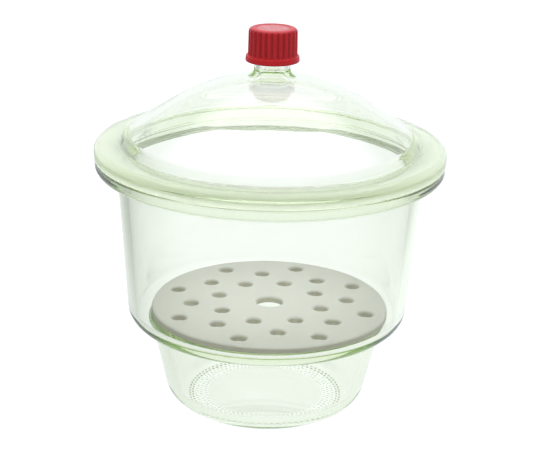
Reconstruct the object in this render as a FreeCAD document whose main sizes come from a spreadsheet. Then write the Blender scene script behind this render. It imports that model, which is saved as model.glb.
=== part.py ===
"""Desiccator, nominal size 200: a thick glass bowl on a stepped foot, a domed glass lid with a ground
flange and a threaded neck, a ribbed screw cap with its seal, and a perforated porcelain plate.

The row frame stands on the bench: +Z up, origin at the centre of the foot's underside, millimetres.
Each sub-part is a body of one document, with its own Placement, and its sizes are expressions of the
cells of the sheet Sizes. Outlines are half sections, (radius, height), turned about the upright axis.
"""
import FreeCAD, Part
import os
import re
import Sketcher
from FreeCAD import Vector

# ---------------------------------------------------------------- driving dimensions, mm and degrees
SIZES = {
    # glass bowl: heights above the bench, and radii of the corners before they are rounded
    "foot_radius": 76.1,
    "foot_top_radius": 91.9,
    "punt_radius": 46.0,
    "punt_depth": 1.0,
    "shoulder_under": 69.0,
    "shoulder_rise": 1.3,
    "wall_low_radius": 109.1,
    "wall_high_radius": 117.5,
    "flange_under": 191.2,
    "seam_height": 201.3,
    "bowl_flange_radius": 134.4,
    "wall_thickness": 6.6,
    "foot_wall_thickness": 7.0,
    "floor_thickness": 7.5,
    "shoulder_thickness": 7.5,
    "foot_round": 22.0,
    "shoulder_round": 13.0,
    "neckin_round": 3.0,
    "bowl_flange_round": 5.8,
    "flange_root_round": 3.0,
    "ground_edge_round": 1.2,
    # glass lid: heights above its ground face
    "grease_film": 0.1,
    "lid_flange_radius": 135.0,
    "lid_flange_height": 11.0,
    "lid_flange_round": 5.3,
    "lid_bore_radius": 110.9,
    "dome_foot_radius": 115.8,
    "dome_foot_round": 1.5,
    "dome_corner_radius": 112.0,
    "dome_corner_height": 17.7,
    "dome_corner_round": 7.0,
    "dome_slope": 33.0,
    "crown_radius": 142.0,
    "dome_thickness": 5.0,
    "neck_radius": 13.8,
    "neck_bore_radius": 10.3,
    "neck_height": 94.4,
    "neck_root_round": 7.5,
    "neck_mouth_round": 9.0,
    "lip_round": 0.9,
    # screw thread of the neck and the cap, 32 mm across the crests
    "thread_pitch": 4.0,
    "thread_crest_radius": 16.0,
    "thread_root_width": 2.3,
    "thread_crest_width": 1.0,
    "thread_sink": 0.4,
    "neck_thread_low": 83.6,
    "neck_thread_turns": 1.75,
    "cap_thread_turns": 1.5,
    "cap_thread_crest_radius": 14.35,
    # screw cap: heights above the open end of its skirt
    "cap_base_height": 275.6,
    "cap_height": 25.3,
    "cap_low_radius": 18.75,
    "cap_top_radius": 18.45,
    "cap_top_round": 3.0,
    "cap_bore_radius": 16.45,
    "cap_roof": 2.1,
    "cap_dish_radius": 12.8,
    "cap_dish_depth": 0.4,
    "band_radius": 20.6,
    "band_height": 4.5,
    "band_draft": 0.5,
    "band_round": 0.6,
    "rib_count": 25.0,
    "rib_turn": 1.6,
    "flute_radius": 1.15,
    "flute_offset": 0.45,
    # seal under the cap's roof
    "seal_radius": 14.9,
    "seal_thickness": 2.8,
    "seal_clearance": 0.1,
    # porcelain plate
    "plate_height": 76.6,
    "plate_shift": 2.2,
    "plate_radius": 93.4,
    "plate_thickness": 5.5,
    "plate_turn": 28.6,
    "plate_top_round": 2.0,
    "plate_low_round": 1.4,
    "centre_hole_radius": 10.6,
    "small_hole_radius": 5.8,
    "hole_top_round": 2.0,
    "hole_low_round": 0.6,
    "holes_in_ring": 8.0,
    "inner_ring_radius": 42.1,
    "middle_ring_radius": 62.1,
    "outer_ring_radius": 77.9,
}

doc = FreeCAD.newDocument("desiccator")
sheet = doc.addObject("Spreadsheet::Sheet", "Sizes")
for row, (name, value) in enumerate(SIZES.items(), start=1):
    sheet.set(f"A{row}", name)
    sheet.set(f"B{row}", str(value))
    sheet.setAlias(f"B{row}", name)
doc.recompute()


# ---------------------------------------------------------------- helpers
def bound(words):
    """Sheet names in an expression, which all hold an underscore, with the sheet's name put before."""
    return re.sub(r"\b[a-z]+(?:_[a-z]+)+\b", lambda name: "Sizes." + name.group(0), words)


def number(words):
    """What an expression comes to now."""
    return float(sheet.evalExpression(bound(words)))


def new_body(label, height="0", turn="0", aside="0"):
    """A body whose own origin stands at a height on the upright axis, or a little aside of it along X,
    turned about its own upright axis in degrees."""
    body = doc.addObject("PartDesign::Body", label)
    body.Label = label
    body.Placement = FreeCAD.Placement(Vector(0, 0, 0), FreeCAD.Rotation(Vector(0, 0, 1), 0))
    body.setExpression("Placement.Base.x", bound(aside))
    body.setExpression("Placement.Base.z", bound(height))
    body.setExpression("Placement.Rotation.Angle", bound(turn + " * 1 deg"))
    return body


def settle(body, feature):
    """The body's newest feature made its tip and worked out."""
    body.Tip = feature
    doc.recompute()
    if {"Invalid", "Error"} & set(feature.State) or not feature.Shape.isValid():
        raise RuntimeError(f"{body.Label}: {feature.Label} failed: {feature.State}")
    return feature


def new_sketch(body, name, role):
    """An empty sketch on one of the body's own origin planes."""
    plane = next(item for item in body.Origin.OriginFeatures if item.Role == role)
    sketch = body.newObject("Sketcher::SketchObject", name)
    sketch.AttachmentSupport = [(plane, "")]
    sketch.MapMode = "FlatFace"
    return sketch


def bind(sketch, kind, name, words, *places):
    """A dimension of a sketch that follows an expression."""
    index = sketch.addConstraint(Sketcher.Constraint(kind, *places, number(words)))
    sketch.renameConstraint(index, name)
    sketch.setExpression("Constraints." + name, bound(words))


def pin(sketch, name, edge, end, across, up):
    """One end of an edge held at (across, up) from the sketch's origin, whatever their signs."""
    for axis, kind, words in (("x", "DistanceX", across), ("y", "DistanceY", up)):
        if abs(number(words)) < 1e-9:
            line = -2 if axis == "x" else -1
            sketch.addConstraint(Sketcher.Constraint("PointOnObject", edge, end, line))
        else:
            bind(sketch, kind, name + axis, words, -1, 1, edge, end)


def outline(body, name, corners):
    """A closed half section. A corner is (radius, height), or (radius, height, crown) where the edge
    that starts there is an arc of the radius crown centred on the upright axis."""
    sketch = new_sketch(body, name, "XZ_Plane")
    points = [Vector(number(corner[0]), number(corner[1]), 0) for corner in corners]
    for index, corner in enumerate(corners):
        start = points[index]
        end = points[(index + 1) % len(points)]
        if len(corner) == 2:
            sketch.addGeometry(Part.LineSegment(start, end), False)
            continue
        crown = number(corner[2])
        centre = Vector(0, start.y - (crown**2 - start.x**2) ** 0.5, 0)
        angles = sorted((point - centre).getAngle(Vector(1, 0, 0)) for point in (start, end))
        sketch.addGeometry(Part.ArcOfCircle(Part.Circle(centre, Vector(0, 0, 1), crown), *angles), False)
    starts = [edge_end(sketch, index, points[index]) for index in range(len(points))]
    for index in range(len(points)):
        after = (index + 1) % len(points)
        end = 3 - starts[index]
        sketch.addConstraint(Sketcher.Constraint("Coincident", index, end, after, starts[after]))
    for index, corner in enumerate(corners):
        pin(sketch, f"p{index}", index, starts[index], corner[0], corner[1])
        if len(corner) == 3:
            bind(sketch, "Radius", f"crown{index}", corner[2], index)
    return sketch


def edge_end(sketch, index, point):
    """Which end of an edge, 1 or 2, lies at a point."""
    edge = sketch.Geometry[index]
    return 1 if (edge.StartPoint - point).Length < 1e-6 else 2


def revolve(body, sketch):
    """The half section turned once round the upright axis."""
    turned = body.newObject("PartDesign::Revolution", sketch.Name + "_turned")
    turned.Profile = sketch
    turned.ReferenceAxis = (sketch, ["V_Axis"])
    turned.Angle = 360
    return settle(body, turned)


def round_rings(body, name, round_words, rings):
    """Fillets on the circles, (radius, height), that go round the upright axis."""
    edges = []
    for radius_words, height_words in rings:
        radius = number(radius_words)
        height = number(height_words)
        found = [f"Edge{index}" for index, edge in enumerate(body.Tip.Shape.Edges, start=1)
                 if is_ring(edge, radius, height)]
        if not found:
            raise ValueError(f"{body.Label}: no ring {radius_words}, {height_words}")
        edges += found
    return add_fillet(body, name, round_words, edges)


def is_ring(edge, radius, height):
    """Whether an edge is the circle of a radius about the upright axis at a height."""
    if edge.Degenerated or not isinstance(edge.Curve, Part.Circle):
        return False
    local = edge.Curve
    on_axis = abs(local.Center.x) + abs(local.Center.y) < 1e-4
    return on_axis and abs(local.Radius - radius) < 1e-3 and abs(local.Center.z - height) < 1e-3


def add_fillet(body, name, round_words, edges):
    solid = body.Tip
    fillet = body.newObject("PartDesign::Fillet", name)
    fillet.Base = (solid, edges)
    fillet.Radius = number(round_words)
    fillet.setExpression("Radius", bound(round_words))
    return settle(body, fillet)


def thread(body, name, low, turns, root, crest, sink):
    """A ridge of the thread wound up the axis: its section stands from root to crest at the height
    low, with its foot sunk a little into the wall."""
    slant = "(thread_root_width - thread_crest_width) / 2"
    sketch = outline(body, name, (
        (f"{root} + {sink}", low),
        (root, low),
        (crest, f"{low} + {slant}"),
        (crest, f"{low} + thread_root_width - {slant}"),
        (root, f"{low} + thread_root_width"),
        (f"{root} + {sink}", f"{low} + thread_root_width"),
    ))
    doc.recompute()
    helix = body.newObject("PartDesign::AdditiveHelix", name + "_wound")
    helix.Profile = sketch
    helix.ReferenceAxis = (sketch, ["V_Axis"])
    helix.Mode = "pitch-turns-angle"
    helix.setExpression("Pitch", bound("thread_pitch"))
    helix.setExpression("Turns", bound(turns))
    return settle(body, helix)


def drill(body, name, across, up, radius, floor="0"):
    """A round hole cut upward through the body from a floor height in it."""
    sketch = new_sketch(body, name, "XY_Plane")
    sketch.setExpression("AttachmentOffset.Base.z", bound(floor))
    centre = Vector(number(across), number(up), 0)
    sketch.addGeometry(Part.Circle(centre, Vector(0, 0, 1), number(radius)), False)
    pin(sketch, "centre", 0, 3, across, up)
    bind(sketch, "Radius", "size", radius, 0)
    before = body.Tip.Shape.Volume
    pocket = body.newObject("PartDesign::Pocket", name + "_cut")
    pocket.Profile = sketch
    pocket.Type = "ThroughAll"
    pocket.Reversed = True
    settle(body, pocket)
    if pocket.Shape.Volume > before - 1:
        raise ValueError(f"{name} cuts nothing")
    return pocket


def repeat_round(body, feature, count):
    """A feature repeated evenly round the upright axis."""
    axis = next(item for item in body.Origin.OriginFeatures if item.Role == "Z_Axis")
    pattern = body.newObject("PartDesign::PolarPattern", feature.Name + "_ring")
    pattern.Originals = [feature]
    pattern.Axis = (axis, [""])
    pattern.Angle = 360
    pattern.setExpression("Occurrences", bound(count))
    return settle(body, pattern)


# ---------------------------------------------------------------- glass bowl
def make_glass_base():
    """Bowl: a foot well below, a shoulder that carries the plate, a wall and a ground flange."""
    body = new_body("glass_base")
    punt_crown = "(punt_radius ^ 2 + punt_depth ^ 2) / (2 * punt_depth)"
    ledge = "shoulder_under + shoulder_thickness"
    inner_low = "wall_low_radius - wall_thickness"
    inner_high = "wall_high_radius - wall_thickness"
    well_high = "foot_top_radius - foot_wall_thickness"
    well_low = "foot_radius - foot_wall_thickness"
    revolve(body, outline(body, "bowl", (
        ("0", "punt_depth", punt_crown),
        ("punt_radius", "0"),
        ("foot_radius", "0"),
        ("foot_top_radius", "shoulder_under"),
        ("wall_low_radius", "shoulder_under + shoulder_rise"),
        ("wall_high_radius", "flange_under"),
        ("bowl_flange_radius", "flange_under"),
        ("bowl_flange_radius", "seam_height"),
        (inner_high, "seam_height"),
        (inner_low, ledge),
        (well_high, ledge),
        (well_low, "floor_thickness"),
        ("0", "floor_thickness"),
    )))
    round_rings(body, "heel", "foot_round", [("foot_radius", "0")])
    round_rings(body, "well_corner", "foot_round - foot_wall_thickness", [(well_low, "floor_thickness")])
    round_rings(body, "shoulder", "shoulder_round", [("wall_low_radius", "shoulder_under + shoulder_rise")])
    round_rings(body, "ledge_corner", "shoulder_round - wall_thickness", [(inner_low, ledge)])
    round_rings(body, "neckin", "neckin_round",
                [("foot_top_radius", "shoulder_under"), (well_high, ledge)])
    round_rings(body, "flange_root", "flange_root_round", [("wall_high_radius", "flange_under")])
    round_rings(body, "flange_low", "bowl_flange_round", [("bowl_flange_radius", "flange_under")])
    round_rings(body, "ground_edge", "ground_edge_round",
                [("bowl_flange_radius", "seam_height"), (inner_high, "seam_height")])
    return body


# ---------------------------------------------------------------- glass lid
def make_glass_lid():
    """Lid: ground flange, bell-shaped foot, cone, crown and a neck with a thread."""
    body = new_body("glass_lid", "seam_height + grease_film")
    slope = "dome_slope * 1 deg"
    join_radius = f"crown_radius * sin({slope})"
    join_height = f"dome_corner_height + (dome_corner_radius - {join_radius}) * tan({slope})"
    top = f"{join_height} + crown_radius * (1 - cos({slope}))"
    bore = "(crown_radius - dome_thickness)"
    inner_join = f"{bore} * sin({slope})"
    inner_join_height = f"{join_height} - dome_thickness * cos({slope})"
    wall = "dome_foot_radius - lid_bore_radius"
    inner_corner = f"dome_corner_radius - ({wall})"
    inner_corner_height = f"{inner_join_height} - ({inner_corner} - {inner_join}) * tan({slope})"
    arc_drop = "crown_radius - sqrt(crown_radius ^ 2 - neck_radius ^ 2)"
    bore_drop = f"{bore} - sqrt({bore} ^ 2 - neck_bore_radius ^ 2)"
    neck_foot = f"{top} - ({arc_drop})"
    mouth = f"{top} - dome_thickness - ({bore_drop})"
    revolve(body, outline(body, "bell", (
        ("lid_bore_radius", "0"),
        ("lid_flange_radius", "0"),
        ("lid_flange_radius", "lid_flange_height"),
        ("dome_foot_radius", "lid_flange_height"),
        ("dome_corner_radius", "dome_corner_height"),
        (join_radius, join_height, "crown_radius"),
        ("neck_radius", neck_foot),
        ("neck_radius", "neck_height"),
        ("neck_bore_radius", "neck_height"),
        ("neck_bore_radius", mouth, bore),
        (inner_join, inner_join_height),
        (inner_corner, inner_corner_height),
    )))
    round_rings(body, "neck_root", "neck_root_round", [("neck_radius", neck_foot)])
    round_rings(body, "neck_mouth", "neck_mouth_round", [("neck_bore_radius", mouth)])
    round_rings(body, "corner", "dome_corner_round", [("dome_corner_radius", "dome_corner_height")])
    round_rings(body, "inner_corner", "dome_corner_round / 2", [(inner_corner, inner_corner_height)])
    round_rings(body, "dome_foot", "dome_foot_round", [("dome_foot_radius", "lid_flange_height")])
    round_rings(body, "flange_top", "lid_flange_round", [("lid_flange_radius", "lid_flange_height")])
    round_rings(body, "ground_edge_lid", "ground_edge_round",
                [("lid_flange_radius", "0"), ("lid_bore_radius", "0")])
    round_rings(body, "lip", "lip_round", [("neck_radius", "neck_height"), ("neck_bore_radius", "neck_height")])
    thread(body, "neck_thread", "neck_thread_low", "neck_thread_turns", "neck_radius",
           "thread_crest_radius", "(-thread_sink)")
    return body


# ---------------------------------------------------------------- cap, seal and plate
def make_screw_cap():
    """Cap: band, fluted grip, dished top and a thread half a pitch away from the neck's."""
    body = new_body("screw_cap", "cap_base_height", "rib_turn")
    revolve(body, outline(body, "cap", (
        ("cap_bore_radius", "0"),
        ("band_radius", "0"),
        ("band_radius - band_draft", "band_height"),
        ("cap_low_radius", "band_height"),
        ("cap_top_radius", "cap_height"),
        ("cap_dish_radius", "cap_height"),
        ("cap_dish_radius - cap_dish_depth", "cap_height - cap_dish_depth"),
        ("0", "cap_height - cap_dish_depth"),
        ("0", "cap_height - cap_roof"),
        ("cap_bore_radius", "cap_height - cap_roof"),
    )))
    round_rings(body, "cap_shoulder", "cap_top_round", [("cap_top_radius", "cap_height")])
    round_rings(body, "band_edge", "band_round",
                [("band_radius", "0"), ("band_radius - band_draft", "band_height")])
    reach = "(cap_low_radius + flute_offset)"
    half_rib = "180 deg / rib_count"
    flute = drill(body, "flute", f"{reach} * cos({half_rib})", f"{reach} * sin({half_rib})",
                  "flute_radius", "band_height")
    repeat_round(body, flute, "rib_count")
    low = ("seam_height + grease_film + neck_thread_low - cap_base_height"
           " - thread_pitch * (1 / 2 - rib_turn / 360)")
    thread(body, "cap_thread", low, "cap_thread_turns", "cap_bore_radius",
           "cap_thread_crest_radius", "thread_sink")
    return body


def make_cap_seal():
    """Seal: a faced disc between the neck's lip and the cap's roof."""
    body = new_body("cap_seal", "seam_height + grease_film + neck_height + seal_clearance")
    revolve(body, outline(body, "disc", (
        ("0", "0"),
        ("seal_radius", "0"),
        ("seal_radius", "seal_thickness"),
        ("0", "seal_thickness"),
    )))
    return body


def make_porcelain_plate():
    """Plate: one hole in the middle and three rings of small ones, the middle ring half a step on. It
    lies loose on the bowl's ledge, a little off the middle."""
    body = new_body("porcelain_plate", "plate_height", "plate_turn", "plate_shift")
    revolve(body, outline(body, "plate", (
        ("centre_hole_radius", "0"),
        ("plate_radius", "0"),
        ("plate_radius", "plate_thickness"),
        ("centre_hole_radius", "plate_thickness"),
    )))
    round_rings(body, "rim_low", "plate_low_round", [("plate_radius", "0")])
    round_rings(body, "rim_top", "plate_top_round", [("plate_radius", "plate_thickness")])
    round_rings(body, "centre_low", "hole_low_round", [("centre_hole_radius", "0")])
    round_rings(body, "centre_top", "hole_top_round", [("centre_hole_radius", "plate_thickness")])
    half_step = "180 deg / holes_in_ring"
    for name, ring, turn in (("inner_hole", "inner_ring_radius", "0 deg"),
                             ("middle_hole", "middle_ring_radius", half_step),
                             ("outer_hole", "outer_ring_radius", "0 deg")):
        hole = drill(body, name, f"{ring} * cos({turn})", f"{ring} * sin({turn})", "small_hole_radius")
        repeat_round(body, hole, "holes_in_ring")
    round_holes(body, "holes_low", "hole_low_round", "0")
    round_holes(body, "holes_top", "hole_top_round", "plate_thickness")
    return body


def round_holes(body, name, round_words, height_words):
    """Fillets on the rims of all the small holes at one face of the plate."""
    radius = number("small_hole_radius")
    height = number(height_words)
    rims = [f"Edge{index}" for index, edge in enumerate(body.Tip.Shape.Edges, start=1)
            if isinstance(edge.Curve, Part.Circle) and abs(edge.Curve.Radius - radius) < 1e-4
            and abs(edge.Curve.Center.z - height) < 1e-4]
    return add_fillet(body, name, round_words, rims)


bodies = [
    make_glass_base(),
    make_glass_lid(),
    make_porcelain_plate(),
    make_cap_seal(),
    make_screw_cap(),
]
doc.recompute()

# ---------------------------------------------------------------- checks and files
for item in doc.Objects:
    if {"Invalid", "Error"} & set(item.State):
        raise RuntimeError(f"{item.Label} failed: {item.State}")
for body in bodies:
    shape = body.Shape
    if shape.isNull() or not shape.isValid() or len(shape.Solids) != 1:
        raise RuntimeError(f"{body.Label} is not one valid solid")

os.makedirs("parts", exist_ok=True)
for body in bodies:
    body.Shape.exportStep(f"parts/{body.Label}.step")
    print(body.Label, round(body.Shape.Volume), body.Shape.BoundBox)
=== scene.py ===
"""Glass desiccator: the CAD frame keeps every place and size, and this script gives the glass, the
porcelain, the cap and the seal their visible surfaces. Metres, in the CAD's own frame, +Z up."""

import math

import bpy
from mathutils import Matrix, Vector


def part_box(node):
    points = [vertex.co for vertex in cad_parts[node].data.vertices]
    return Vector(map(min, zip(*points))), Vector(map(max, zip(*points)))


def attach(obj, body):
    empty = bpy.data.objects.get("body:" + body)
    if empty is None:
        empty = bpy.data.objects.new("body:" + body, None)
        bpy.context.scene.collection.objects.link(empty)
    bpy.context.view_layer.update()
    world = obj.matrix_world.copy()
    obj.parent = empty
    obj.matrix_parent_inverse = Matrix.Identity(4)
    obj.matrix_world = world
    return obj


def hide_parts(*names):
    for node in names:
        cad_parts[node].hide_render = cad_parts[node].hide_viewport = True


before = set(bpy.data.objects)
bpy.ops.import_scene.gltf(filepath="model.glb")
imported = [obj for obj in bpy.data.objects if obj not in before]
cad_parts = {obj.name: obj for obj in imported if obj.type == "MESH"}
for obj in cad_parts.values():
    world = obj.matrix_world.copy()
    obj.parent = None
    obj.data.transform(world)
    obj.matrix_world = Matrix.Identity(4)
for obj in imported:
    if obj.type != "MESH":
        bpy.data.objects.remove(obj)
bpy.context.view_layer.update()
MM = 0.001

# ---------------------------------------------------------------- sizes read from the frame
BASE_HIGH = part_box("glass_base")[1]
LID_LOW, LID_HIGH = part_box("glass_lid")
PLATE_LOW, PLATE_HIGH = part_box("porcelain_plate")
CAP_LOW, CAP_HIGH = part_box("screw_cap")


# ---------------------------------------------------------------- half sections
ARC_STEP = math.radians(6)


class Sample:
    """A point of a half section: radius, height and outward normal, all in the upright half plane.
    style names how the turned surface departs from the section there."""

    def __init__(self, radius, height, normal, style=None):
        self.radius = radius
        self.height = height
        self.normal = Vector(normal)
        self.style = style


def arc(centre, size, start, end, convex=True, step=ARC_STEP):
    """Samples along an arc from one angle to another. A convex arc's normals leave its centre."""
    count = max(2, math.ceil(abs(end - start) / step))
    side = 1 if convex else -1
    samples = []
    for index in range(count + 1):
        angle = start + (end - start) * index / count
        out = Vector((math.cos(angle), math.sin(angle)))
        place = centre + out * size
        samples.append(Sample(place.x, place.y, out * side))
    return samples


def bend(before, corner, after, size):
    """Samples of the arc that rounds a corner. The solid lies to the left of the way."""
    come = (corner - before).normalized()
    leave = (after - corner).normalized()
    turn = math.atan2(come.x * leave.y - come.y * leave.x, come.dot(leave))
    reach = size * math.tan(abs(turn) / 2)
    first = corner - come * reach
    centre = first + Vector((-come.y, come.x)) * math.copysign(size, turn)
    start = math.atan2(first.y - centre.y, first.x - centre.x)
    return arc(centre, size, start, start + turn, convex=turn > 0)


def rounded(corners):
    """Samples of an open run of corners, (radius, height, rounding), without its two end corners."""
    places = [Vector(corner[:2]) for corner in corners]
    samples = []
    for index in range(1, len(corners) - 1):
        samples += bend(places[index - 1], places[index], places[index + 1], corners[index][2])
    return samples


def upright_run(radius, low, high, step, out, style):
    """Samples up a straight wall, from low to high, or down it if high is the lower."""
    count = math.ceil(abs(high - low) / step)
    heights = [low + (high - low) * index / count for index in range(count + 1)]
    return [Sample(radius, height, (out, 0), style) for height in heights]


# ---------------------------------------------------------------- turned meshes
def turned(name, samples, segments, closed=True, swell=None):
    """A mesh turned about the upright axis from a half section. swell(angle, sample) is added to the
    radius of a sample that has a style. Where it isn't zero, the normals are taken from the mesh instead
    of the section."""
    angles = [math.tau * index / segments for index in range(segments)]
    places = []
    swollen = []
    for sample in samples:
        extra = [swell(angle, sample) if swell and sample.style else 0 for angle in angles]
        swollen.append(any(extra))
        places.append([Vector(((sample.radius + more) * math.cos(angle),
                               (sample.radius + more) * math.sin(angle), sample.height))
                       for angle, more in zip(angles, extra)])
    mesh = bpy.data.meshes.new(name)
    faces = turned_faces(len(samples), segments, closed)
    mesh.from_pydata([place for ring in places for place in ring], [], faces)
    mesh.polygons.foreach_set("use_smooth", [True] * len(mesh.polygons))
    mesh.normals_split_custom_set_from_vertices(turned_normals(samples, angles, places, swollen))
    piece = bpy.data.objects.new(name, mesh)
    bpy.context.scene.collection.objects.link(piece)
    return piece


def turned_normals(samples, angles, places, swollen):
    """The normals of all the rings: the section's own, or the mesh's where a ring is swollen."""
    normals = []
    for ring, sample in enumerate(samples):
        below = places[max(ring - 1, 0)]
        above = places[min(ring + 1, len(samples) - 1)]
        for index, angle in enumerate(angles):
            normal = Vector((sample.normal.x * math.cos(angle), sample.normal.x * math.sin(angle),
                             sample.normal.y))
            if swollen[ring]:
                around = places[ring][(index + 1) % len(angles)] - places[ring][index - 1]
                found = around.cross(above[index] - below[index]).normalized()
                normal = found if found.dot(normal) > 0 else -found
            normals.append(normal)
    return normals


def turned_faces(rings, segments, closed):
    """The faces between the rings. A closed section joins its last ring to its first, and an open one
    has a flat face over each end."""
    faces = []
    for ring in range(rings if closed else rings - 1):
        above = (ring + 1) % rings
        for index in range(segments):
            after = (index + 1) % segments
            faces.append((ring * segments + index, ring * segments + after,
                          above * segments + after, above * segments + index))
    if not closed:
        faces.append(tuple(reversed(range(segments))))
        faces.append(tuple(range((rings - 1) * segments, rings * segments)))
    return faces


THREAD_PITCH = 4.0 * MM
THREAD_WIDTH = 2.6 * MM


def ridge(angle, height, low, turns, depth):
    """Height of a right-hand thread's rounded ridge above its wall, at an angle and a height. The ridge
    rises and sinks over an eighth of a turn at its ends."""
    flank = 1.4
    ends = 8
    best = 0
    for turn in range(math.ceil(turns) + 1):
        along = angle / math.tau + turn
        if along > turns:
            continue
        away = abs(height - low - along * THREAD_PITCH) / (THREAD_WIDTH / 2)
        run_out = min(1, along * ends, (turns - along) * ends)
        best = max(best, smooth(flank * (1 - away)) * smooth(run_out))
    return best * depth


def smooth(share):
    """0 to 1 with level ends."""
    share = min(1, max(0, share))
    return share * share * (3 - 2 * share)


# ---------------------------------------------------------------- node helpers
def new_material(name):
    """A material, its node tree and its Principled shader."""
    material = bpy.data.materials.new(name)
    material.use_nodes = True
    return material, material.node_tree, material.node_tree.nodes["Principled BSDF"]


def add_node(tree, kind, **settings):
    """A node with its inputs set by name."""
    node = tree.nodes.new(kind)
    for key, value in settings.items():
        node.inputs[key].default_value = value
    return node


def math_node(tree, operation, first, second=None, third=None):
    """A Math node. Each operand is a number or a socket."""
    node = tree.nodes.new("ShaderNodeMath")
    node.operation = operation
    for index, operand in enumerate((first, second, third)):
        if operand is None:
            continue
        if isinstance(operand, (int, float)):
            node.inputs[index].default_value = operand
        else:
            tree.links.new(operand, node.inputs[index])
    return node.outputs[0]


def noise(tree, scale, detail=2.0, roughness=0.5):
    """Noise that is fixed in the object."""
    place = tree.nodes.new("ShaderNodeTexCoord")
    texture = add_node(tree, "ShaderNodeTexNoise", Scale=scale, Detail=detail, Roughness=roughness)
    tree.links.new(place.outputs["Object"], texture.inputs["Vector"])
    return texture.outputs["Fac"]


def bump(tree, shader, height, depth):
    """A bump of a depth in metres, from a height of 0 to 1."""
    node = add_node(tree, "ShaderNodeBump", Strength=1, Distance=depth)
    tree.links.new(height, node.inputs["Height"])
    tree.links.new(node.outputs["Normal"], shader.inputs["Normal"])


def blend_range(tree, value, low, high):
    """A value from 0 to 1 moved to a range from low to high."""
    return math_node(tree, "MULTIPLY_ADD", value, high - low, low)


def ramp(tree, value, low, high):
    """0 below low, 1 above high, smooth between."""
    node = tree.nodes.new("ShaderNodeMapRange")
    node.interpolation_type = "SMOOTHSTEP"
    node.inputs["From Min"].default_value = low
    node.inputs["From Max"].default_value = high
    tree.links.new(value, node.inputs["Value"])
    return node.outputs["Result"]


def mix_colour(tree, share, first, second):
    """One colour mixed into another. Each is a colour or a socket."""
    node = tree.nodes.new("ShaderNodeMix")
    node.data_type = "RGBA"
    tree.links.new(share, node.inputs["Factor"])
    for name, colour in (("A", first), ("B", second)):
        socket = [item for item in node.inputs if item.name == name and item.type == "RGBA"][0]
        if isinstance(colour, tuple):
            socket.default_value = colour
        else:
            tree.links.new(colour, socket)
    return [item for item in node.outputs if item.type == "RGBA"][0]


def fraction(tree, value):
    """What a value holds after its point."""
    return math_node(tree, "FRACT", value)


def place_in(tree):
    """A place in the object, split into its X, Y and Z."""
    place = tree.nodes.new("ShaderNodeTexCoord")
    split = tree.nodes.new("ShaderNodeSeparateXYZ")
    tree.links.new(place.outputs["Object"], split.inputs[0])
    return split


def off_axis(tree, split):
    """How far a split place is from the upright axis."""
    across = math_node(tree, "MULTIPLY", split.outputs["X"], split.outputs["X"])
    return math_node(tree, "SQRT", math_node(tree, "MULTIPLY_ADD", split.outputs["Y"], split.outputs["Y"],
                                             across))


# ---------------------------------------------------------------- glass
GLASS_IOR = 1.473
GLASS_TINT = (0.58, 0.75, 0.24, 1)
GLASS_TINT_PER_METRE = 19.0
CLEAR_TONE = (1, 1, 1, 1)
GROUND_TONE = (1.0, 1.0, 0.97, 1)
PIP_TONE = (0.66, 0.72, 0.66, 1)

# how much of the glass's clearness each finish takes away
GROUND_LOSS = 0.8
RIM_LOSS = 0.10
PIP_LOSS = 0.55

RIPPLE_DEPTH = 0.04 * MM
GRAIN_DEPTH = 0.02 * MM
PIP_HEIGHT = 0.3 * MM
PIP_STEEPNESS = 2.6

STIPPLE_FIRST = 46.3 * MM
STIPPLE_MIDDLE = 53.0 * MM
STIPPLE_ROW = 3.6 * MM
STIPPLE_GAP = 4.0 * MM
STIPPLE_COUNT = round(math.tau * STIPPLE_MIDDLE / STIPPLE_GAP)
STIPPLE_TOP = 0.6 * MM
PUNT_RADIUS = 46.0 * MM
PUNT_DEPTH = 1.0 * MM


def glass_material(name, ground_height, is_bowl):
    """Borosilicate: clear, pale green in its depth, faintly rippled by the pressing and matt on the
    ground face of the flange. The bowl is stippled under its foot too, and a little dull on its rim. One
    material covers the whole piece, so light that comes in through one face and leaves through another
    crosses one and the same glass."""
    material, tree, shader = new_material(name)
    shader.inputs["IOR"].default_value = GLASS_IOR
    absorb = add_node(tree, "ShaderNodeVolumeAbsorption", Color=GLASS_TINT, Density=GLASS_TINT_PER_METRE)
    tree.links.new(absorb.outputs["Volume"], tree.nodes["Material Output"].inputs["Volume"])
    split = place_in(tree)
    off_face = math_node(tree, "ABSOLUTE", math_node(tree, "SUBTRACT", split.outputs["Z"], ground_height))
    ground = math_node(tree, "SUBTRACT", 1, ramp(tree, off_face, 0.02 * MM, 0.05 * MM))
    grain = noise(tree, 900, detail=4, roughness=0.7)
    tree.links.new(math_node(tree, "MULTIPLY", ground, blend_range(tree, grain, 0.4, 0.7)),
                   shader.inputs["Roughness"])
    clear = math_node(tree, "MULTIPLY_ADD", ground, -GROUND_LOSS, 1)
    colour = mix_colour(tree, ground, CLEAR_TONE, GROUND_TONE)
    height = math_node(tree, "MULTIPLY", noise(tree, 28, detail=1), RIPPLE_DEPTH)
    matt = math_node(tree, "MULTIPLY", ground, grain)
    height = math_node(tree, "MULTIPLY_ADD", matt, GRAIN_DEPTH, height)
    if is_bowl:
        below = math_node(tree, "GREATER_THAN", off_face, 0.8 * MM)
        rim = ramp(tree, off_axis(tree, split), BASE_HIGH.x - 6 * MM, BASE_HIGH.x - 3 * MM)
        clear = math_node(tree, "MULTIPLY_ADD", math_node(tree, "MULTIPLY", below, rim), -RIM_LOSS, clear)
        pip = pips(tree, split)
        clear = math_node(tree, "MULTIPLY_ADD", pip, -PIP_LOSS, clear)
        colour = mix_colour(tree, pip, colour, PIP_TONE)
        height = math_node(tree, "MULTIPLY_ADD", pip, PIP_HEIGHT, height)
    tree.links.new(clear, shader.inputs["Transmission Weight"])
    tree.links.new(colour, shader.inputs["Base Color"])
    bump(tree, shader, height, 1.0)
    return material


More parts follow.
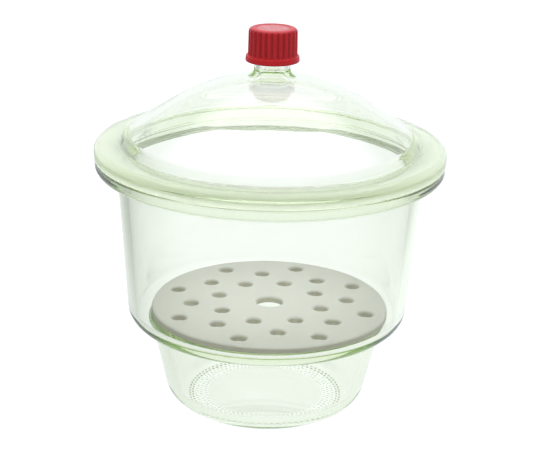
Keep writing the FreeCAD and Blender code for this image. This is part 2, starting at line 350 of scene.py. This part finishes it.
def pips(tree, split):
    """1 at the tip of each pip of the standing ring, 0 between them: staggered rows round the upright
    axis, outside the recess and only on the underside."""
    radius = off_axis(tree, split)
    row = math_node(tree, "DIVIDE", math_node(tree, "SUBTRACT", radius, STIPPLE_FIRST), STIPPLE_ROW)
    step = math_node(tree, "MULTIPLY", math_node(tree, "FLOOR", row), 0.5)
    angle = math_node(tree, "ARCTAN2", split.outputs["Y"], split.outputs["X"])
    turn = math_node(tree, "MULTIPLY_ADD", angle, STIPPLE_COUNT / math.tau, step)
    along = math_node(tree, "MULTIPLY", math_node(tree, "SUBTRACT", fraction(tree, turn), 0.5),
                      STIPPLE_GAP / STIPPLE_ROW)
    out = math_node(tree, "SUBTRACT", fraction(tree, row), 0.5)
    away = math_node(tree, "SQRT", math_node(tree, "MULTIPLY_ADD", along, along,
                                             math_node(tree, "MULTIPLY", out, out)))
    pip = math_node(tree, "MAXIMUM", math_node(tree, "MULTIPLY_ADD", away, -PIP_STEEPNESS, 1), 0)
    under = math_node(tree, "LESS_THAN", split.outputs["Z"], STIPPLE_TOP)
    outside = math_node(tree, "GREATER_THAN", radius, PUNT_RADIUS)
    return math_node(tree, "MULTIPLY", pip, math_node(tree, "MULTIPLY", under, outside))


GLASS_SEGMENTS = 240
FACE_EDGE = 1.2 * MM
FOOT_FLOOR = 7.5 * MM
SHOULDER_UNDER = 69.0 * MM
LEDGE = SHOULDER_UNDER + 7.5 * MM
WALL = 6.6 * MM
WALL_FOOT = 109.1 * MM
WALL_TOP = 117.5 * MM


def make_bowl():
    """The bowl, from the middle of its underside out, up and back down inside."""
    seam = BASE_HIGH.z
    flange = BASE_HIGH.x
    flange_under = seam - 10.1 * MM
    corners = (
        (PUNT_RADIUS, 0, 0),
        (76.1 * MM, 0, 22.0 * MM),
        (91.9 * MM, SHOULDER_UNDER, 3.0 * MM),
        (WALL_FOOT, SHOULDER_UNDER + 1.3 * MM, 13.0 * MM),
        (WALL_TOP, flange_under, 3.0 * MM),
        (flange, flange_under, 5.8 * MM),
        (flange, seam, FACE_EDGE),
        (WALL_TOP - WALL, seam, FACE_EDGE),
        (WALL_FOOT - WALL, LEDGE, 6.4 * MM),
        (84.9 * MM, LEDGE, 3.0 * MM),
        (69.1 * MM, FOOT_FLOOR, 15.0 * MM),
        (0, FOOT_FLOOR, 0),
    )
    crown = (PUNT_RADIUS ** 2 + PUNT_DEPTH ** 2) / (2 * PUNT_DEPTH)
    low = Vector((0, PUNT_DEPTH - crown))
    reach = math.asin(PUNT_RADIUS / crown)
    start = math.pi / 2 - 0.05 * reach
    punt = arc(low, crown, start, math.pi / 2 - reach, convex=False, step=reach / 12)
    bowl = turned("glass_bowl", punt + rounded(corners), GLASS_SEGMENTS, closed=False)
    bowl.data.materials.append(glass_material("bowl_glass", seam, is_bowl=True))
    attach(bowl, "base")
    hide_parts("glass_base")


NECK_RADIUS = 13.8 * MM
NECK_BORE = 10.3 * MM
LIP_EDGE = 0.9 * MM
NECK_THREAD_LOW = LID_LOW.z + 84.75 * MM
NECK_THREAD_TURNS = 1.75
NECK_THREAD_DEPTH = 2.2 * MM
THREAD_ROW = 0.25 * MM
CROWN_STEP = math.radians(2)


def make_lid():
    """The lid: flange, bell-shaped foot, cone and crown, and the threaded neck with its bore."""
    face = LID_LOW.z
    lip = LID_HIGH.z
    flange = LID_HIGH.x
    flange_top = face + 11.0 * MM
    slope = math.radians(33)
    crown = 142.0 * MM
    wall = 5.0 * MM
    shoulder = Vector((112.0 * MM, face + 17.7 * MM))
    join = Vector((crown * math.sin(slope), 0))
    join.y = shoulder.y + (shoulder.x - join.x) * math.tan(slope)
    centre = Vector((0, join.y - crown * math.cos(slope)))
    inner_join = centre + (join - centre) * ((crown - wall) / crown)
    bore_foot = 110.9 * MM
    foot = 115.8 * MM
    inner_shoulder = Vector((shoulder.x - foot + bore_foot, 0))
    inner_shoulder.y = inner_join.y - (inner_shoulder.x - inner_join.x) * math.tan(slope)
    samples = rounded((
        (*inner_shoulder, 0),
        (bore_foot, face, FACE_EDGE),
        (flange, face, FACE_EDGE),
        (flange, flange_top, 5.3 * MM),
        (foot, flange_top, 1.5 * MM),
        (*shoulder, 7.0 * MM),
        (*join, 0),
    ))
    samples += crown_to_line(centre, crown, slope, NECK_RADIUS, 7.5 * MM, outside=True)
    neck_foot = samples[-1].height
    samples += upright_run(NECK_RADIUS, neck_foot + 0.5 * MM, lip - 1.2 * MM, THREAD_ROW, 1, "thread")
    samples += rounded((
        (NECK_RADIUS, face, 0),
        (NECK_RADIUS, lip, LIP_EDGE),
        (NECK_BORE, lip, LIP_EDGE),
        (NECK_BORE, face, 0),
    ))
    samples += crown_to_line(centre, crown - wall, slope, NECK_BORE, 9.0 * MM, outside=False)
    samples += rounded(((*inner_join, 0), (*inner_shoulder, 3.5 * MM), (bore_foot, face, 0)))
    lid = turned("glass_cover", samples, GLASS_SEGMENTS, swell=neck_thread)
    lid.data.materials.append(glass_material("lid_glass", face, is_bowl=False))
    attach(lid, "lid")
    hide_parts("glass_lid")


def crown_to_line(centre, crown, slope, radius, size, outside):
    """The crown's arc and the arc that joins it to an upright wall: from the crown to the wall on the
    outside, and from the wall to the crown on the inside."""
    hub = Vector((radius + size, 0))
    hub.y = centre.y + math.sqrt((crown + size) ** 2 - hub.x ** 2)
    tilt = math.atan2(hub.y - centre.y, hub.x)
    start = math.pi / 2 - slope
    if outside:
        samples = arc(centre, crown, start, tilt, step=CROWN_STEP)
        return samples + arc(hub, size, tilt - math.pi, -math.pi, convex=False)[1:]
    samples = arc(hub, size, math.pi, tilt + math.pi)
    return samples + arc(centre, crown, tilt, start, convex=False, step=CROWN_STEP)[1:]


def neck_thread(angle, sample):
    """The thread on the neck."""
    return ridge(angle, sample.height, NECK_THREAD_LOW, NECK_THREAD_TURNS, NECK_THREAD_DEPTH)


# ---------------------------------------------------------------- screw cap
RIBS = 25
RIB_TURN = math.radians(1.6)
CAP_SEGMENTS = RIBS * 16
CAP_GRIP_RADIUS = 18.75 * MM
CAP_TOP_RADIUS = 18.45 * MM
CAP_BORE = 16.45 * MM
RIB_DEPTH = 1.15 * MM
DISH_RADIUS = 12.8 * MM
DISH_DEPTH = 0.4 * MM
CAP_THREAD_LOW = NECK_THREAD_LOW - THREAD_PITCH / 2
CAP_THREAD_TURNS = 1.5
CAP_THREAD_DEPTH = 2.1 * MM


def make_cap():
    """The cap: roof, bore with its thread, band, ribbed grip, rounded shoulder and dished top."""
    low = CAP_LOW.z
    top = CAP_HIGH.z
    band = 20.6 * MM
    band_top = low + 4.5 * MM
    roof = top - 2.1 * MM
    inner = rounded(((0, roof, 0), (CAP_BORE, roof, 0.8 * MM), (CAP_BORE, low, 0)))
    inner += upright_run(CAP_BORE, roof - 1.5 * MM, low + 1.0 * MM, THREAD_ROW, -1, "thread")
    rim = rounded((
        (CAP_BORE, roof, 0),
        (CAP_BORE, low, 0.4 * MM),
        (band, low, 0.9 * MM),
        (band - 0.4 * MM, band_top, 0.7 * MM),
        (CAP_GRIP_RADIUS, band_top, 0.25 * MM),
        (CAP_TOP_RADIUS, top, 0),
    ))
    crown = rounded((
        (CAP_GRIP_RADIUS, band_top, 0),
        (CAP_TOP_RADIUS, top, 3.0 * MM),
        (DISH_RADIUS, top, 0.3 * MM),
        (DISH_RADIUS - DISH_DEPTH, top - DISH_DEPTH, 0.3 * MM),
        (0, top - DISH_DEPTH, 0),
    ))
    grip = []
    first = rim[-1]
    last = crown[0]
    rows = 24
    for index in range(1, rows):
        share = index / rows
        grip.append(Sample(first.radius + (last.radius - first.radius) * share,
                           first.height + (last.height - first.height) * share, last.normal, "ribs"))
    shoulder_rows = 14
    for sample in crown[:shoulder_rows]:
        sample.style = "ribs"
    cap = turned("ribbed_cap", inner + rim + grip + crown, CAP_SEGMENTS, closed=False, swell=cap_relief)
    cap.data.materials.append(cap_plastic())
    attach(cap, "cap")
    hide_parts("screw_cap")


def cap_relief(angle, sample):
    """The ribs on the grip and the thread in the bore."""
    if sample.style == "thread":
        return -ridge(angle, sample.height, CAP_THREAD_LOW, CAP_THREAD_TURNS, CAP_THREAD_DEPTH)
    wave = 0.5 + 0.5 * math.cos((angle - RIB_TURN) * RIBS)
    fullness = 0.8
    valley = CAP_GRIP_RADIUS - RIB_DEPTH * (1 - wave ** fullness)
    return min(0, valley - sample.radius)


def cap_plastic():
    """Moulded red plastic with a satin skin, with painted shade darker down between the ribs, and a
    paler dish with a painted sheen and pale speckles painted as glints."""
    material, tree, shader = new_material("red_plastic")
    deep_red = (0.34, 0.003, 0.005, 1)
    bright_red = (0.41, 0.005, 0.008, 1)
    # painted shade: a darker red down between the ribs
    shaded_groove_red = (0.24, 0.002, 0.004, 1)
    # painted sheen and painted glints on the dish: a paler red and pale pink speckles
    dish_sheen_red = (0.35, 0.06, 0.06, 1)
    dish_glint_pink = (0.46, 0.17, 0.165, 1)
    split = place_in(tree)
    away = off_axis(tree, split)
    plain = mix_colour(tree, noise(tree, 120), deep_red, bright_red)
    # the painted shade between the ribs fades out towards the crests
    crest = ramp(tree, away, CAP_GRIP_RADIUS - RIB_DEPTH, CAP_GRIP_RADIUS - 0.2 * MM)
    grip = mix_colour(tree, crest, shaded_groove_red, plain)
    on_top = ramp(tree, split.outputs["Z"], CAP_HIGH.z - 0.8 * MM, CAP_HIGH.z - 0.5 * MM)
    past_dish = ramp(tree, away, DISH_RADIUS - 0.6 * MM, DISH_RADIUS)
    dished = math_node(tree, "MULTIPLY", on_top, math_node(tree, "SUBTRACT", 1, past_dish))
    above = mix_colour(tree, on_top, grip, plain)
    # pale pink speckles painted as glints, on a red painted paler as a sheen
    painted_glints = mix_colour(tree, ramp(tree, noise(tree, 700, detail=3), 0.40, 0.64), dish_sheen_red, dish_glint_pink)
    tone = mix_colour(tree, dished, above, painted_glints)
    tree.links.new(tone, shader.inputs["Base Color"])
    tree.links.new(blend_range(tree, noise(tree, 400, detail=3), 0.26, 0.42), shader.inputs["Roughness"])
    shader.inputs["Specular IOR Level"].default_value = 0.22
    bump(tree, shader, noise(tree, 2500, detail=3), 0.00002)
    return material


# ---------------------------------------------------------------- seal and plate
def seal_material():
    """Faced silicone, matt and white."""
    material, tree, shader = new_material("white_silicone")
    warm_white = (0.80, 0.79, 0.76, 1)
    pale_white = (0.86, 0.85, 0.83, 1)
    tone = mix_colour(tree, noise(tree, 300), warm_white, pale_white)
    tree.links.new(tone, shader.inputs["Base Color"])
    tree.links.new(blend_range(tree, noise(tree, 800), 0.45, 0.65), shader.inputs["Roughness"])
    bump(tree, shader, noise(tree, 1500), 0.00001)
    return material


PLATE_MIDDLE = (PLATE_LOW + PLATE_HIGH) / 2
RIM_RADIUS = (PLATE_HIGH.x - PLATE_LOW.x) / 2
HOLE_TOP = PLATE_HIGH.z - 0.5 * MM
HOLE_SHADE = PLATE_HIGH.z - 2.6 * MM


def porcelain_material():
    """Porcelain, glazed warm white and softly glossy, with painted shade that darkens and yellows the
    glaze down in the holes, and darker and greyer on the upright faces of the rim's edge."""
    material, tree, shader = new_material("porcelain")
    thin_glaze = (0.63, 0.62, 0.57, 1)
    thick_glaze = (0.68, 0.67, 0.62, 1)
    # painted shade: the glaze darker and yellower down in the holes
    shaded_hole_glaze = (0.52, 0.50, 0.38, 1)
    # darker and greyer where the rim's edge stands upright
    dark_rim_edge = (0.38, 0.36, 0.28, 1)
    light_rim_edge = (0.48, 0.46, 0.37, 1)
    split = place_in(tree)
    glaze = mix_colour(tree, noise(tree, 25, detail=4), thin_glaze, thick_glaze)
    # the painted shade in the holes, full below HOLE_SHADE and gone above HOLE_TOP
    raised = ramp(tree, split.outputs["Z"], HOLE_SHADE, HOLE_TOP)
    glaze = mix_colour(tree, raised, shaded_hole_glaze, glaze)
    rim_edge_tone = mix_colour(tree, noise(tree, 500, detail=3), dark_rim_edge, light_rim_edge)
    place = tree.nodes.new("ShaderNodeTexCoord")
    upright = tree.nodes.new("ShaderNodeSeparateXYZ")
    tree.links.new(place.outputs["Normal"], upright.inputs[0])
    # the glaze where faces lie level or inside the rim, the darker greyer tone on the rim's upright edge
    level = ramp(tree, math_node(tree, "ABSOLUTE", upright.outputs["Z"]), 0.25, 0.85)
    outer = ramp(tree, plate_radius(tree, split), RIM_RADIUS - 4 * MM, RIM_RADIUS - 2 * MM)
    share = math_node(tree, "MAXIMUM", level, math_node(tree, "SUBTRACT", 1, outer))
    tree.links.new(mix_colour(tree, share, rim_edge_tone, glaze), shader.inputs["Base Color"])
    tree.links.new(blend_range(tree, share, 0.7, 0.3), shader.inputs["Roughness"])
    bump(tree, shader, noise(tree, 60, detail=2), 0.00006)
    return material


def plate_radius(tree, split):
    """How far a split place is from the plate's own middle, which lies a little aside along X."""
    along = math_node(tree, "SUBTRACT", split.outputs["X"], PLATE_MIDDLE.x)
    across = math_node(tree, "MULTIPLY", along, along)
    return math_node(tree, "SQRT", math_node(tree, "MULTIPLY_ADD", split.outputs["Y"], split.outputs["Y"],
                                             across))


def paint_node(node, material):
    """A CAD node that keeps its shape and takes a new finish."""
    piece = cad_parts[node]
    piece.data.materials.clear()
    piece.data.materials.append(material)


# ---------------------------------------------------------------- camera, light and floor
def add_camera():
    """A 100 mm lens that looks 19 degrees down on the bowl's middle, and is rolled a little."""
    down = math.radians(19.06)
    roll = math.radians(1.38)
    distance = 1.1719
    aim = Vector((0.0011, 0, 0.1447))
    place = aim + Vector((0, -math.cos(down), math.sin(down))) * distance
    data = bpy.data.cameras.new("camera")
    data.lens = 100
    data.sensor_width = 36
    camera = bpy.data.objects.new("camera", data)
    turn = (aim - place).to_track_quat("-Z", "Y").to_matrix().to_4x4()
    camera.matrix_world = Matrix.Translation(place) @ turn @ Matrix.Rotation(roll, 4, "Z")
    bpy.context.scene.collection.objects.link(camera)
    bpy.context.scene.camera = camera


# the studio's light behind and above, straight overhead, and at the sides, a little more on the right
WHITE_LIGHT = 1.05
TOP_LIGHT = 2.9
SIDE_LIGHT = 0.70
SIDE_SLANT = 0.12
PALE_BLUE = (1.0, 1.015, 1.09, 1)


def add_world():
    """A white studio. Its light is full behind and above, and less at the sides and behind the camera.
    Seen directly it is plain white everywhere."""
    world = bpy.data.worlds.new("studio")
    world.use_nodes = True
    tree = world.node_tree
    sky = tree.nodes["Background"]
    place = tree.nodes.new("ShaderNodeTexCoord")
    split = tree.nodes.new("ShaderNodeSeparateXYZ")
    tree.links.new(place.outputs["Generated"], split.inputs[0])
    behind = ramp(tree, split.outputs["Y"], -0.1, 0.5)
    above = ramp(tree, split.outputs["Z"], 0.25, 0.75)
    white = math_node(tree, "MAXIMUM", behind, above)
    side = math_node(tree, "MULTIPLY_ADD", split.outputs["X"], SIDE_SLANT, SIDE_LIGHT)
    rise = math_node(tree, "SUBTRACT", WHITE_LIGHT, side)
    level = math_node(tree, "MULTIPLY_ADD", white, rise, side)
    overhead = ramp(tree, split.outputs["Z"], 0.6, 0.85)
    light = math_node(tree, "MULTIPLY_ADD", overhead, TOP_LIGHT - WHITE_LIGHT, level)
    seen = math_node(tree, "MAXIMUM", light, tree.nodes.new("ShaderNodeLightPath").outputs["Is Camera Ray"])
    tree.links.new(seen, sky.inputs["Strength"])
    sky.inputs["Color"].default_value = PALE_BLUE
    bpy.context.scene.world = world


# the floor's light away from the foot and under it
FLOOR_LIGHT = 0.91
UNDER_LIGHT = 0.99
FOOT_INNER = 68.0 * MM
FOOT_OUTER = 82.0 * MM

# how much of the floor's light is lost, and between which places in metres
LEFT_LOSS = 0.50
LEFT_START = 0.0
RIGHT_LOSS = 0.30
RIGHT_START = 0.19
SIDE_END = 0.33
FAR_LOSS = 0.06
FAR_START = 0.38
FAR_END = 0.55


def add_floor():
    """A plain pale floor, lit from below like a light table, level with the foot's underside. Where it
    is seen past the glass it is plain white. What the glass bends into view is a softly lit table,
    brightest under the foot, whose light falls off to the sides, sooner on the left, and a little far
    behind."""
    mesh = bpy.data.meshes.new("floor")
    reach = 6.0
    mesh.from_pydata([(-reach, -reach, 0), (reach, -reach, 0), (reach, reach, 0), (-reach, reach, 0)], [],
                     [(0, 1, 2, 3)])
    floor = bpy.data.objects.new("floor", mesh)
    bpy.context.scene.collection.objects.link(floor)
    material, tree, shader = new_material("pale_floor")
    shader.inputs["Base Color"].default_value = (0.06, 0.06, 0.06, 1)
    shader.inputs["Roughness"].default_value = 0.9
    shader.inputs["Emission Color"].default_value = PALE_BLUE
    split = place_in(tree)
    aside = math_node(tree, "ABSOLUTE", split.outputs["X"])
    beside = math_node(tree, "MULTIPLY_ADD", split.outputs["Y"], -0.25, aside)
    left = math_node(tree, "MULTIPLY", ramp(tree, beside, LEFT_START, SIDE_END), LEFT_LOSS)
    right = math_node(tree, "MULTIPLY", ramp(tree, beside, RIGHT_START, SIDE_END), RIGHT_LOSS)
    side = ramp(tree, split.outputs["X"], -0.04, 0.04)
    across = math_node(tree, "MULTIPLY_ADD", side, math_node(tree, "SUBTRACT", right, left), left)
    loss = math_node(tree, "MULTIPLY", across, ramp(tree, split.outputs["Y"], -0.25, 0.05))
    far = ramp(tree, split.outputs["Y"], FAR_START, FAR_END)
    loss = math_node(tree, "MULTIPLY_ADD", far, FAR_LOSS, loss)
    past_foot = ramp(tree, off_axis(tree, split), FOOT_INNER, FOOT_OUTER)
    plain = math_node(tree, "MULTIPLY_ADD", past_foot, FLOOR_LIGHT - UNDER_LIGHT, UNDER_LIGHT)
    lit = math_node(tree, "SUBTRACT", plain, loss)
    seen = math_node(tree, "MAXIMUM", lit, tree.nodes.new("ShaderNodeLightPath").outputs["Is Camera Ray"])
    tree.links.new(seen, shader.inputs["Emission Strength"])
    mesh.materials.append(material)


def set_colours_and_bounces():
    """Plain colours, and bounces enough for the light that circles inside the flanges, where each
    reflection inside the glass counts as a glossy bounce."""
    scene = bpy.context.scene
    scene.view_settings.view_transform = "Standard"
    glass_bounces = 96
    scene.cycles.max_bounces = glass_bounces
    scene.cycles.transmission_bounces = glass_bounces
    scene.cycles.glossy_bounces = glass_bounces
    scene.cycles.diffuse_bounces = 8


make_bowl()
make_lid()
make_cap()
paint_node("porcelain_plate", porcelain_material())
paint_node("cap_seal", seal_material())
add_camera()
add_world()
add_floor()
set_colours_and_bounces()
